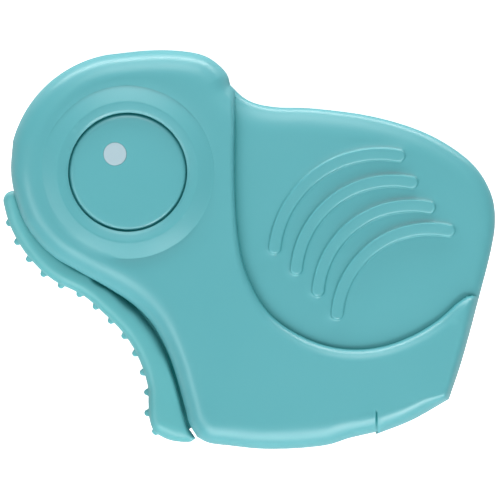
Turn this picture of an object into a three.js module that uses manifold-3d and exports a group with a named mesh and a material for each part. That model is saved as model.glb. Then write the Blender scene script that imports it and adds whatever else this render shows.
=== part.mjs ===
// Folding rotary cutter, folded shut, lying on its rear face.
// Millimetres, +X to the right and +Y up as seen from the front, +Z out of the front face.
// Everything is drawn round the pivot axis, which is the axis of the big round button.
import * as THREE from 'three';
import { mergeVertices } from 'three/addons/utils/BufferGeometryUtils.js';
import Module from 'manifold-3d';

const wasm = await Module();
wasm.setup();

// Casing
const thickness = 20;
const partingZ = thickness / 2;
const partingGap = 0.3;
const wall = 2.2;
const headRadius = 26.2;
const wideRound = 5.6;
const tailRound = 4.2;
const lowSideRound = 2.4;
const sideRound = 3.5;
const edgeRoundHeight = 5.8;
const outlineStep = 4.2;
const seamStep = 0.5;
const roundSteps = 4;
const turnedSides = 48;
const smallSides = 24;
const screwSides = 16;
const cutMargin = 1;
const weldDepth = 0.5;

// Slot between the two halves that the arm swings in
const slotWidth = 9.6;
const cavityMargin = 0.6;
const slotTop = partingZ + slotWidth / 2;
const slotBottom = partingZ - slotWidth / 2;
const cavityFloor = slotBottom - cavityMargin;

// Thumb rest
const thumbRestDepth = 2.4;
const thumbRestSlope = 3;
const ribWidth = 2.8;
const ribHeight = 0.9;

// Button, its ring and the lock under it
const buttonRadius = 12.9;
const buttonHeight = 3.7;
const buttonTop = 20.3;
const buttonTravel = 1.8;
const buttonEdge = 0.8;
const flangeWidth = 1.4;
const flangeHeight = 1;
const slideGap = 0.3;
const ringRadius = 18.9;
const ringHeight = 1;
const crestRadius = 15.4;
const crestWidth = 0.5;
const valleyRadius = 22.4;
const valleyDepth = 0.38;
const dotRadius = 2.5;
const dotPlace = [-2.9, 4.05];
const dotDepth = 0.6;
const dotRise = 0.1;
const dotGap = 0.05;
const plungerRadius = 6.6;
const lugReach = 9.2;
const lugHalfAngle = 10;
const lugHeight = 1.3;
const lugZ = 12.6;
const lugAngles = [90, 270];
const plungerBottom = 7.5;
const plungerDepth = 1;
const plungerTop = buttonTop - buttonHeight + plungerDepth;
const keyRadius = 3.6;
const keyTop = 9.5;
const keyGap = 0.35;
const springTop = 15;

// Arm and its pivot
const foldRange = 115;
const armThickness = 8.4;
const armTop = partingZ + armThickness / 2;
const armBottom = partingZ - armThickness / 2;
const hubRadius = 20;
const landOuter = hubRadius - 0.5;
const bushOuter = 9.3;
const bushInner = 7;
const bushTop = 10.4;
const spineOuter = 28.4;
const spineInner = 23.8;
const spineMiddle = (spineOuter + spineInner) / 2;
const noseRadius = (spineOuter - spineInner) / 2;
const spineStart = 193.7;
const spineEnd = 250;
const webThickness = 3.2;
const spineOuterRound = 1.8;
const spineInnerRound = 0.8;
const spineTipRound = 0.3;
const toothCount = 14;
const toothPitch = 4.53;
const toothHeight = 0.9;
const toothWidth = 1.5;
const toothStart = 4.5;
const toothInset = 0.6;
const slipWasherThickness = 0.3;
const slipWasherWidth = 4;

// Blade and what holds it
const bladeRadius = 22.5;
const bladeThickness = 0.3;
const bladeBevel = 1.2;
const bladeCentre = [31.5, -36.4];
const bladeBushRadius = 3.85;
const bladeGap = 0.3;
const bladeRoom = 0.8;
const bossRadius = 9.5;
const boltRadius = 2.5;
const boltHeadRadius = 5;
const boltHeadHeight = 1.4;
const boltHeadEdge = 0.4;
const boltSlotWidth = 1.1;
const boltSlotDepth = 0.7;
const bladeWasherRadius = 7;
const bladeWasherThickness = 0.4;
const nutRadius = 5.6;
const nutHeight = 1.9;
const springWasherThickness = 0.5;

// Screws
const screwRadius = 1.4;
const screwHeadRadius = 2.9;
const screwHeadHeight = 1.6;
const screwBossRadius = 4.2;
const screwHeadZ = 2.5;
const screwLength = 11;
const screwPoint = 1;
const recessLength = 2.8;
const recessWidth = 0.7;
const recessDepth = 0.9;
const screwPlaces = [[29, 7.6], [71, -6.5], [60.5, -46.4]];
const pivotScrewHeadZ = 0.9;
const pivotScrewLength = 5.5;

// Spring under the button
const springRadius = 2.6;
const springWire = 0.55;
const springTurns = 5;

const mint = '#67b4bd';
const steel = '#c3c7ca';

const hinge = [0, 0];
const rad = THREE.MathUtils.degToRad;
const polar = (radius, degrees) => [radius * Math.cos(rad(degrees)), radius * Math.sin(rad(degrees))];

// Solids

// A closed mesh as a solid, turned outside out if its faces point in.
function solid(geometry) {
  const bare = geometry.index ? geometry.toNonIndexed() : geometry.clone();
  bare.deleteAttribute('normal');
  bare.deleteAttribute('uv');
  const merged = mergeVertices(bare, 1e-5);
  const vertProperties = new Float32Array(merged.attributes.position.array);
  const kept = [];
  const faces = merged.index.array;
  let volume = 0;
  for (let i = 0; i < faces.length; i += 3) {
    const [a, b, c] = [faces[i], faces[i + 1], faces[i + 2]];
    if (a === b || b === c || c === a) continue;
    const [p, q, r] = [a, b, c].map((v) => new THREE.Vector3().fromArray(vertProperties, v * 3));
    volume += p.dot(q.cross(r)) / 6;
    kept.push(a, b, c);
  }
  if (volume < 0) {
    for (let i = 0; i < kept.length; i += 3) [kept[i], kept[i + 1]] = [kept[i + 1], kept[i]];
  }
  return new wasm.Manifold(new wasm.Mesh({ numProp: 3, vertProperties, triVerts: new Uint32Array(kept) }));
}

// A solid as a three.js geometry.
function geometryOf(body) {
  const mesh = body.getMesh();
  const geometry = new THREE.BufferGeometry();
  geometry.setAttribute('position', new THREE.BufferAttribute(new Float32Array(mesh.vertProperties), 3));
  geometry.setIndex(new THREE.BufferAttribute(new Uint32Array(mesh.triVerts), 1));
  geometry.computeVertexNormals();
  return geometry;
}

const shapeOf = (points) => new THREE.Shape(points.map(([x, y]) => new THREE.Vector2(x, y)));

// A plate with the given outline between two heights; bevel rounds its upper and lower edges inwards.
function plate(points, low, high, bevel = 0) {
  const geometry = new THREE.ExtrudeGeometry(shapeOf(points), {
    depth: high - low - 2 * bevel,
    bevelEnabled: bevel > 0,
    bevelThickness: bevel,
    bevelSize: bevel,
    bevelOffset: -bevel,
    bevelSegments: 2,
    steps: 1,
  });
  geometry.translate(0, 0, low + bevel);
  return solid(geometry);
}

// A revolved solid. The profile is a closed run of [radius, height] points.
function turned(profile, [x, y], sides) {
  const closed = [...profile, profile[0]].map(([r, z]) => new THREE.Vector2(r, z));
  const geometry = new THREE.LatheGeometry(closed, sides);
  geometry.rotateX(Math.PI / 2);
  geometry.translate(x, y, 0);
  return solid(geometry);
}

const disc = (radius, low, high, place, sides) => turned(
  [[0, low], [radius, low], [radius, high], [0, high]], place, sides);

const ring = (inner, outer, low, high, place, sides) => turned(
  [[inner, low], [outer, low], [outer, high], [inner, high]], place, sides);

// A skin through a stack of rings with equal numbers of [x, y, z] points, closed at both ends.
function loft(stack) {
  const flat = stack[0].map(([x, y]) => new THREE.Vector2(x, y));
  const rings = THREE.ShapeUtils.isClockWise(flat) ? stack.map((level) => level.toReversed()) : stack;
  const count = flat.length;
  const positions = rings.flat(2);
  const index = [];
  for (let level = 0; level + 1 < rings.length; level++) {
    for (let i = 0; i < count; i++) {
      const a = level * count + i;
      const b = level * count + ((i + 1) % count);
      index.push(a, b, b + count, a, b + count, a + count);
    }
  }
  for (const level of [0, rings.length - 1]) {
    const contour = rings[level].map(([x, y]) => new THREE.Vector2(x, y));
    for (const [a, b, c] of THREE.ShapeUtils.triangulateShape(contour, [])) {
      const face = level === 0 ? [c, b, a] : [a, b, c];
      index.push(...face.map((v) => v + level * count));
    }
  }
  const geometry = new THREE.BufferGeometry();
  geometry.setAttribute('position', new THREE.Float32BufferAttribute(positions, 3));
  geometry.setIndex(index);
  return solid(geometry);
}

// Outlines

// Points at even steps along a smooth curve through the given points.
function smooth(points, step) {
  const curve = new THREE.CatmullRomCurve3(
    points.map(([x, y]) => new THREE.Vector3(x, y, 0)), false, 'centripetal');
  const steps = Math.max(2, Math.round(curve.getLength() / step));
  return curve.getSpacedPoints(steps).map((p) => [p.x, p.y]);
}

// Points of an arc about a centre.
function arc(radius, from, to, step, [cx, cy] = [0, 0]) {
  const steps = Math.max(2, Math.round((Math.abs(rad(to - from)) * radius) / step));
  const points = [];
  for (let i = 0; i <= steps; i++) {
    const [x, y] = polar(radius, from + ((to - from) * i) / steps);
    points.push([cx + x, cy + y]);
  }
  return points;
}

const direction = ([ax, ay], [bx, by]) => new THREE.Vector2(bx - ax, by - ay).normalize();
const { lerp, smoothstep } = THREE.MathUtils;

// The casing seen from the front, anticlockwise. It has corners at the neck, the tail, the seam and the
// lower end of the mouth; between them it runs in smooth curves.
const neck = [22.4, 19.1];
const tail = [70.3, -49.7];
const seam = [54.4, -57.4];
const mouthEnd = [15.1, -58];
const headArcFrom = 100;
const headArcTo = 165;
const mouth = [polar(headRadius, headArcTo), [0.5 - headRadius, 0], [-24.8, -5.2], [-22.9, -10.7],
  [-19.9, -15.1], [-16.3, -18.5], [-10.5, -21.9], [-4.6, -25.2], [1.3, -29.1], [5, -33], [7.7, -37.5],
  [9.4, -41.8], [10.8, -46.6], [12, -51.7], [12.8, -55], mouthEnd];
const belly = [mouthEnd, [17.4, -59.2], [22.3, -59.9], [29.3, -60.6], [38.2, -60.4], [44.3, -59.6],
  [48.3, -58.3], [seam[0], seam[1] + seamStep]];
const bottom = [seam, [62.2, -54.3], tail];
const wing = [[73.1, -41.3], [76.8, -27.7], [79.6, -16.6], [80.4, -11.2], [80, -6.2], [78.2, -1.8],
  [75.5, 1.8], [71, 5.4], [65.2, 8.6], [58.5, 11], [51.7, 12.6], [45.4, 13.5], [39.1, 14.1], [32.4, 14.3],
  [28, 15.1], [25.3, 16.4], neck];
const crown = [neck, [21.6, 21.6], [18.5, 24.6], [15.7, 25.9], [10.4, 26.7], [4, 26.7],
  polar(headRadius, headArcFrom)];

// The outline as [x, y, width of the rounded edge]. The edge is narrower at the tail and up the right side.
function casingOutline(step) {
  const runs = [
    [mouth, () => wideRound],
    [belly, (share) => lerp(wideRound, tailRound, share)],
    [[belly.at(-1), seam], () => tailRound],
    [bottom, (share) => lerp(tailRound, lowSideRound, smoothstep(share, 0.6, 1))],
    [[tail, ...wing], (share) => lerp(
      lerp(lowSideRound, sideRound, smoothstep(share, 0, 0.3)), wideRound, smoothstep(share, 0.35, 0.6))],
    [crown, () => wideRound],
    [[polar(headRadius, headArcFrom), polar(headRadius, headArcTo)], () => wideRound],
  ];
  return runs.flatMap(([points, roundAt], number) => {
    const onHead = number === runs.length - 1;
    const run = onHead ? arc(headRadius, headArcFrom, headArcTo, step) : smooth(points, step);
    return run.slice(0, -1).map(([x, y], i) => [x, y, roundAt(i / (run.length - 1))]);
  });
}

// The outline drawn in towards the middle of the belly, from which every point of it can be seen.
const casingMiddle = [28.9, -21.5];
const slantLimit = 1.6;

function drawnIn(outline, insetOf) {
  return outline.map(([x, y, width], i) => {
    const [px, py] = outline.at(i - 1);
    const [nx, ny] = outline[(i + 1) % outline.length];
    const ray = direction([x, y], casingMiddle);
    const normal = new THREE.Vector2(py - ny, nx - px).normalize();
    const slant = Math.min(slantLimit, 1 / Math.max(0.01, normal.dot(ray)));
    const inset = insetOf(width) * slant;
    return [x + ray.x * inset, y + ray.y * inset];
  });
}

// Casing halves. A half is drawn with its parting face down, and its heights count from the middle of the
// gap between the halves.
const halfHeight = thickness / 2;
const slotRoof = slotWidth / 2;
const cavityRoof = slotRoof + cavityMargin;
const thumbRestFloor = halfHeight - thumbRestDepth;
const roundFoot = halfHeight - edgeRoundHeight;

// The full outer form of a half: a straight wall, then a quarter ellipse up to a flat crown.
function roundedHalf(outline, crownHeight) {
  const rings = [outline.map(([x, y]) => [x, y, partingGap / 2])];
  for (let i = 0; i <= roundSteps; i++) {
    const turn = (Math.PI / 2) * (i / roundSteps);
    const z = lerp(roundFoot, crownHeight, Math.sin(turn));
    rings.push(drawnIn(outline, (width) => width * (1 - Math.cos(turn))).map(([x, y]) => [x, y, z]));
  }
  return loft(rings);
}

// The foot of the slope round the thumb rest: from the neck down, along the belly and up to the right.
const crease = [[23.2, 18.8], [23.2, 9.3], [23.2, -4], [23.9, -13.4], [25.2, -20.2], [28.1, -27.1],
  [31.1, -31.6], [36.4, -35.6], [42.8, -38.2], [49.5, -39.3], [56.2, -38.9], [62.9, -36.7], [68.7, -33.1],
  [72.6, -29.5], [74.6, -27.7], [76.2, -28], [78.5, -31]];
const creaseStep = 4;
const neckSoftness = 0.37;
const sideSoftness = 0.5;

// What is cut away over the thumb rest. Its side springs steeply from the floor and bends over into the
// crown; it is narrow at the neck and widens from there on.
function thumbRestCutter(outline) {
  const line = smooth(crease, creaseStep);
  const beyond = [[95, -31], [95, 30], [30, 30], [24.5, 21]];
  const section = [[0, 0], [0.06, 0.34], [0.2, 0.6], [0.45, 0.835], [0.75, 0.97], [1, 1.01], [1.1, 1.6]];
  const ringAt = (out, z) => line.map(([x, y], i) => {
    const [px, py] = line[Math.max(0, i - 1)];
    const [nx, ny] = line[Math.min(line.length - 1, i + 1)];
    const away = new THREE.Vector2(ny - py, px - nx).normalize();
    const share = i / (line.length - 1);
    const fromNeck = lerp(neckSoftness, 1, smoothstep(share, 0.15, 0.6));
    const fromSide = lerp(1, sideSoftness, smoothstep(share, 0.8, 1));
    const reach = out * thumbRestSlope * Math.min(fromNeck, fromSide);
    return [x + away.x * reach, y + away.y * reach, z];
  }).concat(beyond.map(([x, y]) => [x, y, z]));
  const rings = section.map(([out, rise]) => ringAt(out, thumbRestFloor + rise * thumbRestDepth));
  const room = loft([ringAt(0, roundFoot + 0.05), ...rings]);
  return room.subtract(roundedHalf(outline, thumbRestFloor));
}

// The curved grip ribs of the thumb rest, each a step further down and to the right.
const ribCount = 4;
const ribCentre = [58.4, -22.6];
const ribStep = [4.4, -5.1];
const ribRadius = 26.8;
const ribRadiusStep = 0.5;
const ribFrom = 88;
const ribTo = 168;
const ribBevel = 0.65;
const ribStepAlong = 5;
const ribEndStep = 1.5;
const halfTurn = 180;

function thumbRib(number) {
  const radius = ribRadius - number * ribRadiusStep;
  const centre = [ribCentre[0] + number * ribStep[0], ribCentre[1] + number * ribStep[1]];
  const half = ribWidth / 2;
  const endAt = (degrees) => polar(radius, degrees).map((v, i) => v + centre[i]);
  const outline = [
    ...arc(radius + half, ribFrom, ribTo, ribStepAlong, centre).slice(0, -1),
    ...arc(half, ribTo, ribTo + halfTurn, ribEndStep, endAt(ribTo)).slice(0, -1),
    ...arc(radius - half, ribTo, ribFrom, ribStepAlong, centre).slice(0, -1),
    ...arc(half, ribFrom - halfTurn, ribFrom, ribEndStep, endAt(ribFrom)).slice(0, -1),
  ];
  return plate(outline, thumbRestFloor - weldDepth, thumbRestFloor + ribHeight, ribBevel);
}

// The side wall is open from the top of the head, down the left and along the belly as far as the seam.
const noseAngle = spineStart - THREE.MathUtils.radToDeg(noseRadius / spineMiddle);
const mouthSpare = 1.2;
const wallStart = noseAngle - foldRange - mouthSpare;

function mouthRoom() {
  const around = [polar(hubRadius, wallStart), polar(60, wallStart), [-60, 60], [-60, -80], [seam[0], -80],
    [seam[0], -50], [20, -40]];
  return plate(around, 0, slotRoof);
}

function casingHalf(landInner) {
  const outline = casingOutline(outlineStep);
  let half = roundedHalf(outline, halfHeight).subtract(thumbRestCutter(outline));
  for (let i = 0; i < ribCount; i++) half = half.add(thumbRib(i));
  const inside = drawnIn(casingOutline(2 * outlineStep), () => wall);
  half = half.subtract(plate(inside, 0, cavityRoof)).subtract(mouthRoom());
  half = half.add(ring(landInner, landOuter, slotRoof, cavityRoof + weldDepth, hinge, turnedSides));
  for (const place of screwPlaces) {
    half = half.add(disc(screwBossRadius, partingGap / 2, cavityRoof + weldDepth, place, screwSides));
  }
  return half;
}

const moved = (body, z) => solid(geometryOf(body).translate(0, 0, z));
const turnedOver = (body) => solid(geometryOf(body).scale(1, 1, -1).translate(0, 0, partingZ));

// Front half: the button's well, and the raised ring and groove round it.
const wellRadius = buttonRadius + slideGap;
const flangeRadius = buttonRadius + flangeWidth;
const buttonBottom = buttonTop - buttonHeight;
const flangeTop = buttonBottom + flangeHeight;

function frontShell() {
  const top = thickness;
  const eyeRing = [
    [wellRadius - cutMargin, top - cutMargin],
    [ringRadius, top - cutMargin],
    [ringRadius, top - valleyDepth],
    [crestRadius + crestWidth, top + ringHeight * 0.9],
    [crestRadius, top + ringHeight],
    [crestRadius - crestWidth, top + ringHeight * 0.9],
    [wellRadius, top + ringHeight * 0.35],
    [wellRadius - cutMargin, top + ringHeight * 0.35],
  ];
  const valley = [
    [ringRadius - crestWidth, top + cutMargin],
    [ringRadius - crestWidth, top - valleyDepth],
    [ringRadius + 0.05, top - valleyDepth],
    [lerp(ringRadius, valleyRadius, 0.35), top - valleyDepth * 0.4],
    [lerp(ringRadius, valleyRadius, 0.7), top - valleyDepth * 0.1],
    [valleyRadius, top + 0.01],
    [valleyRadius, top + cutMargin],
  ];
  const pocket = flangeRadius + slideGap;
  let shell = moved(casingHalf(pocket), partingZ);
  shell = shell.subtract(turned(valley, hinge, turnedSides)).add(turned(eyeRing, hinge, turnedSides));
  shell = shell.subtract(disc(pocket, slotTop - cutMargin, flangeTop + slideGap, hinge, turnedSides));
  shell = shell.subtract(disc(wellRadius, slotTop, top + 2 * ringHeight, hinge, turnedSides));
  for (const place of screwPlaces) {
    shell = shell.subtract(disc(screwRadius + slideGap, partingZ, screwTip + slideGap, place, screwSides));
  }
  return shell;
}

// Rear half: seats for the pivot bush and the key post, and the sunk holes of the screws.
const screwSeat = screwHeadZ + screwHeadHeight;
const screwTip = screwSeat + screwLength;
const pivotScrewSeat = pivotScrewHeadZ + screwHeadHeight;
const pivotScrewTip = pivotScrewSeat + pivotScrewLength;

function rearShell() {
  let shell = turnedOver(casingHalf(bushOuter + slideGap));
  const holes = [...screwPlaces.map((place) => [place, screwSeat]), [hinge, pivotScrewSeat]];
  for (const [place, seat] of holes) {
    shell = shell.subtract(disc(screwHeadRadius + slideGap, -cutMargin, seat, place, 1.5 * screwSides));
    shell = shell.subtract(disc(screwRadius + slideGap, -cutMargin, partingZ, place, screwSides));
  }
  return shell;
}

// Arm: a thick hub and a thick ridged spine on a thinner web that reaches out to the blade.
function spineEdge() {
  const bend = [[-5, -31.2], [-1.5, -34.7], [1, -38.2], [2.7, -41.7], [3.9, -45.2], [4.4, -47.9],
    [4.4, -50.5], [4.6, -53.8], [5.6, -56.6], [8.1, -58.3], [10.9, -59], [13.7, -59], [14.4, -58.5]];
  return [...arc(spineOuter, spineStart, spineEnd, 5), ...bend];
}

// The spine's outline, anticlockwise, as [x, y, width of the rounded edge]. A gap is left between its
// inner edge and the casing, and the web shows as the floor of that gap.
function spineOutline() {
  const inner = [[14.3, -57.8], [13.2, -56.3], [12.5, -54.9], [11.6, -51.3], [10.7, -48.3], [9.6, -45.2],
    [7.3, -40.4], [5.2, -36.7], [2.2, -32.6], [-1.3, -29.1], [-4.6, -26.3], polar(spineInner, spineEnd - 3)];
  const outerRound = (share) => lerp(spineOuterRound, spineTipRound, smoothstep(share, 0.8, 0.97));
  const innerRound = (share) => lerp(spineTipRound, spineInnerRound, smoothstep(share, 0.05, 0.2));
  const nose = arc(noseRadius, spineStart - halfTurn, spineStart, 0.9, polar(spineMiddle, spineStart));
  const runs = [
    [smooth(spineEdge(), 3), outerRound],
    [smooth(inner, 3), innerRound],
    [arc(spineInner, spineEnd - 6, spineStart + 4, 3), () => spineInnerRound],
    [nose.slice(0, -1), () => spineInnerRound],
  ];
  return runs.flatMap(([run, at]) => run.map(([x, y], i) => [x, y, at(i / (run.length - 1))]));
}

function spineBody() {
  const outline = spineOutline();
  const level = (z, share) => outline.map(([x, y, width], i) => {
    const [px, py] = outline.at(i - 1);
    const [nx, ny] = outline[(i + 1) % outline.length];
    const inwards = new THREE.Vector2(py - ny, nx - px).normalize();
    return [x + inwards.x * width * share, y + inwards.y * width * share, z];
  });
  const roundDepth = spineOuterRound;
  return loft([
    level(armBottom, 1),
    level(armBottom + 0.15 * roundDepth, 0.5),
    level(armBottom + 0.5 * roundDepth, 0.13),
    level(armBottom + roundDepth, 0),
    level(armTop - roundDepth, 0),
    level(armTop - 0.5 * roundDepth, 0.13),
    level(armTop - 0.15 * roundDepth, 0.5),
    level(armTop, 1),
  ]);
}

// The bars across the spine, at even steps along its outer edge.
function spineTeeth() {
  const edge = new THREE.CatmullRomCurve3(
    spineEdge().map(([x, y]) => new THREE.Vector3(x, y, 0)), false, 'centripetal');
  const half = toothWidth / 2;
  const section = [[-half, -cutMargin], [half, -cutMargin], [half, 0.4 * toothHeight],
    [0.5 * half, toothHeight], [-0.5 * half, toothHeight], [-half, 0.4 * toothHeight]];
  const teeth = [];
  for (let i = 0; i < toothCount; i++) {
    const share = (toothStart + i * toothPitch) / edge.getLength();
    const at = edge.getPointAt(share);
    const along = edge.getTangentAt(share);
    const outline = section.map(([u, v]) => [
      at.x + u * along.x + v * along.y,
      at.y + u * along.y - v * along.x,
    ]);
    teeth.push(plate(outline, armBottom + toothInset, armTop - toothInset));
  }
  return teeth;
}

const webBottom = partingZ - webThickness / 2;
const webTop = partingZ + webThickness / 2;

function armWeb() {
  const outline = [
    ...arc(spineInner + 1, spineStart + 2, spineEnd, 4),
    [-3.5, -31], [3, -38.5], [6.3, -47], [8, -54], [12.2, -57],
    ...arc(bossRadius, -100, 50, 3, bladeCentre),
    polar(hubRadius - 1, -12),
    [0, 0],
  ];
  return plate(outline, webBottom, webTop);
}

function bladeArm() {
  const above = armTop + cutMargin;
  const below = armBottom - cutMargin;
  let arm = spineBody().add(armWeb()).add(disc(hubRadius, armBottom, armTop, hinge, turnedSides));
  for (const tooth of spineTeeth()) arm = arm.add(tooth);
  arm = arm.subtract(disc(bladeRadius + bladeRoom, webTop, above, bladeCentre, turnedSides));
  arm = arm.subtract(disc(bushOuter + slideGap, below, lugZ - slideGap, hinge, turnedSides));
  arm = arm.subtract(disc(plungerRadius + slideGap, below, above, hinge, turnedSides));
  for (const lug of lugAngles) arm = arm.subtract(lugChannel(lug));
  return arm.subtract(disc(boltRadius + slideGap, below, above, bladeCentre, smallSides));
}

// The way of a lock lug in the hub's front half, from the shut end to the open end.
function lugChannel(lug) {
  const spare = THREE.MathUtils.radToDeg(slideGap / plungerRadius);
  const from = lug - lugHalfAngle - spare;
  const to = lug + foldRange + lugHalfAngle + spare;
  const reach = lugReach + slideGap;
  const inside = plungerRadius - cutMargin;
  return plate([...arc(reach, from, to, 2), ...arc(inside, to, from, 3)], lugZ - 2, armTop + cutMargin);
}

// Blade, its bush, bolt, washers and nut. They stack up on both faces of the web.
const bladeBushTop = webTop + bladeThickness + 2 * bladeGap;
const boltSeat = bladeBushTop + bladeWasherThickness;
const nutTop = webBottom - springWasherThickness;

function rotaryBlade() {
  const low = webTop + bladeGap;
  const high = low + bladeThickness;
  const edge = 0.02;
  const middle = (low + high) / 2;
  const bore = bladeBushRadius + slideGap;
  return turned([
    [bore, low],
    [bladeRadius - bladeBevel, low],
    [bladeRadius, middle - edge],
    [bladeRadius, middle + edge],
    [bladeRadius - bladeBevel, high],
    [bore, high],
  ], bladeCentre, turnedSides);
}

function bladeBolt() {
  const top = boltSeat + boltHeadHeight;
  const head = turned([
    [0, boltSeat],
    [boltHeadRadius, boltSeat],
    [boltHeadRadius, top - boltHeadEdge],
    [boltHeadRadius - boltHeadEdge, top],
    [0, top],
  ], bladeCentre, smallSides);
  const shank = disc(boltRadius, nutTop - nutHeight, boltSeat + 0.1, bladeCentre, smallSides);
  const slot = rectangle(2 * boltHeadRadius + cutMargin, boltSlotWidth, bladeCentre);
  return head.add(shank).subtract(plate(slot, top - boltSlotDepth, top + cutMargin));
}

function bladeNut() {
  const bottomZ = nutTop - nutHeight;
  const across = disc(nutRadius, bottomZ, nutTop, bladeCentre, 6);
  const bore = disc(boltRadius + slideGap, bottomZ - cutMargin, nutTop + cutMargin, bladeCentre, smallSides);
  return across.subtract(bore);
}

const onBolt = (radius, low, high) => ring(boltRadius + slideGap, radius, low, high, bladeCentre, smallSides);

// A spring washer is bowed a little when loose, and flat here under the nut.
const springWasher = () => onBolt(nutRadius - 0.6, nutTop, webBottom);
const bladeWasher = () => onBolt(bladeWasherRadius, bladeBushTop, boltSeat);
const bladeBush = () => onBolt(bladeBushRadius, webTop, bladeBushTop);

function rectangle(length, width, [x, y]) {
  const [a, b] = [length / 2, width / 2];
  return [[x - a, y - b], [x + a, y - b], [x + a, y + b], [x - a, y + b]];
}

// Button, its dot, and the lock plunger that it pushes along the key post.
function eyeButton() {
  const cap = turned([
    [0, buttonBottom],
    [flangeRadius, buttonBottom],
    [flangeRadius, flangeTop],
    [buttonRadius, flangeTop],
    [buttonRadius, buttonTop - buttonEdge],
    [buttonRadius - 0.3 * buttonEdge, buttonTop - 0.35 * buttonEdge],
    [buttonRadius - buttonEdge, buttonTop - 0.1 * buttonEdge],
    [0, buttonTop],
  ], hinge, turnedSides);
  const socketTop = plungerTop + slideGap;
  const socket = disc(plungerRadius + slideGap, buttonBottom - cutMargin, socketTop, hinge, turnedSides);
  const dotSeat = disc(dotRadius + dotGap, buttonTop - dotDepth, buttonTop + cutMargin, dotPlace, smallSides);
  return cap.subtract(socket).subtract(dotSeat);
}

const eyeDot = () => disc(dotRadius, buttonTop - dotDepth, buttonTop + dotRise, dotPlace, smallSides);

function lockPlunger() {
  let plunger = disc(plungerRadius, plungerBottom, plungerTop, hinge, turnedSides);
  for (const lug of lugAngles) {
    const outline = [...arc(lugReach, lug - lugHalfAngle, lug + lugHalfAngle, 1), hinge];
    plunger = plunger.add(plate(outline, lugZ, lugZ + lugHeight));
  }
  return plunger.subtract(disc(keyRadius + keyGap, plungerBottom - cutMargin, springTop + keyGap, hinge, 6));
}

// Key post: a round foot inside the bush, and a six-sided post that the plunger slides on.
function keyPost() {
  const footTop = plungerBottom - buttonTravel - slideGap;
  const foot = disc(bushInner - slideGap, cavityFloor, footTop, hinge, turnedSides);
  const post = disc(keyRadius, cavityFloor, keyTop, hinge, 6);
  const boreTop = pivotScrewTip + slideGap;
  const bore = disc(screwRadius + slideGap, cavityFloor - cutMargin, boreTop, hinge, screwSides);
  return foot.add(post).subtract(bore);
}

const pivotBush = () => ring(bushInner, bushOuter, cavityFloor, bushTop, hinge, smallSides);

// A slip washer in the middle of the gap between two faces, near the rim of the hub.
function slipWasher(low, high) {
  const outer = landOuter - 0.5;
  const bottomZ = (low + high - slipWasherThickness) / 2;
  return ring(outer - slipWasherWidth, outer, bottomZ, bottomZ + slipWasherThickness, hinge, smallSides);
}

// Screws: a flat head with a cross recess, and a plain shank.
function screw(place, headZ, length) {
  const seat = headZ + screwHeadHeight;
  let body = turned([
    [0, headZ],
    [screwHeadRadius - 0.3, headZ],
    [screwHeadRadius, headZ + 0.4],
    [screwHeadRadius, seat],
    [screwRadius, seat],
    [screwRadius, seat + length - screwPoint],
    [screwRadius - 0.6, seat + length],
    [0, seat + length],
  ], place, screwSides);
  for (const [a, b] of [[recessLength, recessWidth], [recessWidth, recessLength]]) {
    body = body.subtract(plate(rectangle(a, b, place), headZ - cutMargin, headZ + recessDepth));
  }
  return body;
}

// The coil spring between the key post and the plunger's roof: one unbroken wire.
function buttonSpring() {
  const sides = 5;
  const perTurn = 8;
  const low = keyTop + springWire / 2 + 0.05;
  const high = springTop - springWire / 2 - 0.05;
  const steps = springTurns * perTurn;
  const positions = [];
  const index = [];
  for (let i = 0; i <= steps; i++) {
    const angle = (2 * Math.PI * i) / perTurn;
    const z = low + ((high - low) * i) / steps;
    for (let k = 0; k < sides; k++) {
      const turn = (2 * Math.PI * k) / sides;
      const r = springRadius + (springWire / 2) * Math.cos(turn);
      positions.push(r * Math.cos(angle), r * Math.sin(angle), z + (springWire / 2) * Math.sin(turn));
    }
  }
  for (let i = 0; i < steps; i++) {
    for (let k = 0; k < sides; k++) {
      const [a, b] = [i * sides + k, i * sides + ((k + 1) % sides)];
      index.push(a, b, b + sides, a, b + sides, a + sides);
    }
  }
  for (let k = 1; k + 1 < sides; k++) {
    index.push(0, k + 1, k, steps * sides, steps * sides + k, steps * sides + k + 1);
  }
  const geometry = new THREE.BufferGeometry();
  geometry.setAttribute('position', new THREE.Float32BufferAttribute(positions, 3));
  geometry.setIndex(index);
  return solid(geometry);
}

// Assembly
const plastic = { color: mint, roughness: 0.42, metalness: 0 };
const darkPlastic = { color: '#3f4a4d', roughness: 0.6, metalness: 0 };
const metal = { color: steel, roughness: 0.3, metalness: 1 };

const pieces = [
  ['front_shell', frontShell(), plastic],
  ['rear_shell', rearShell(), plastic],
  ['blade_arm', bladeArm(), plastic],
  ['rotary_blade', rotaryBlade(), metal],
  ['blade_bolt', bladeBolt(), metal],
  ['blade_washer', bladeWasher(), metal],
  ['blade_bush', bladeBush(), metal],
  ['spring_washer', springWasher(), metal],
  ['blade_nut', bladeNut(), metal],
  ['eye_button', eyeButton(), plastic],
  ['eye_dot', eyeDot(), { color: '#dfe9f2', roughness: 0.35, metalness: 0 }],
  ['lock_plunger', lockPlunger(), darkPlastic],
  ['button_spring', buttonSpring(), metal],
  ['key_post', keyPost(), metal],
  ['pivot_bush', pivotBush(), metal],
  ['pivot_washer_front', slipWasher(armTop, slotTop), darkPlastic],
  ['pivot_washer_rear', slipWasher(slotBottom, armBottom), darkPlastic],
  ['pivot_screw', screw(hinge, pivotScrewHeadZ, pivotScrewLength), metal],
  ...screwPlaces.map((place, i) => [`shell_screw_${i + 1}`, screw(place, screwHeadZ, screwLength), metal]),
];

const cutter = new THREE.Group();
cutter.name = 'folding_rotary_cutter';
for (const [name, body, look] of pieces) {
  const mesh = new THREE.Mesh(geometryOf(body), new THREE.MeshStandardMaterial(look));
  mesh.name = name;
  cutter.add(mesh);
}

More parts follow.
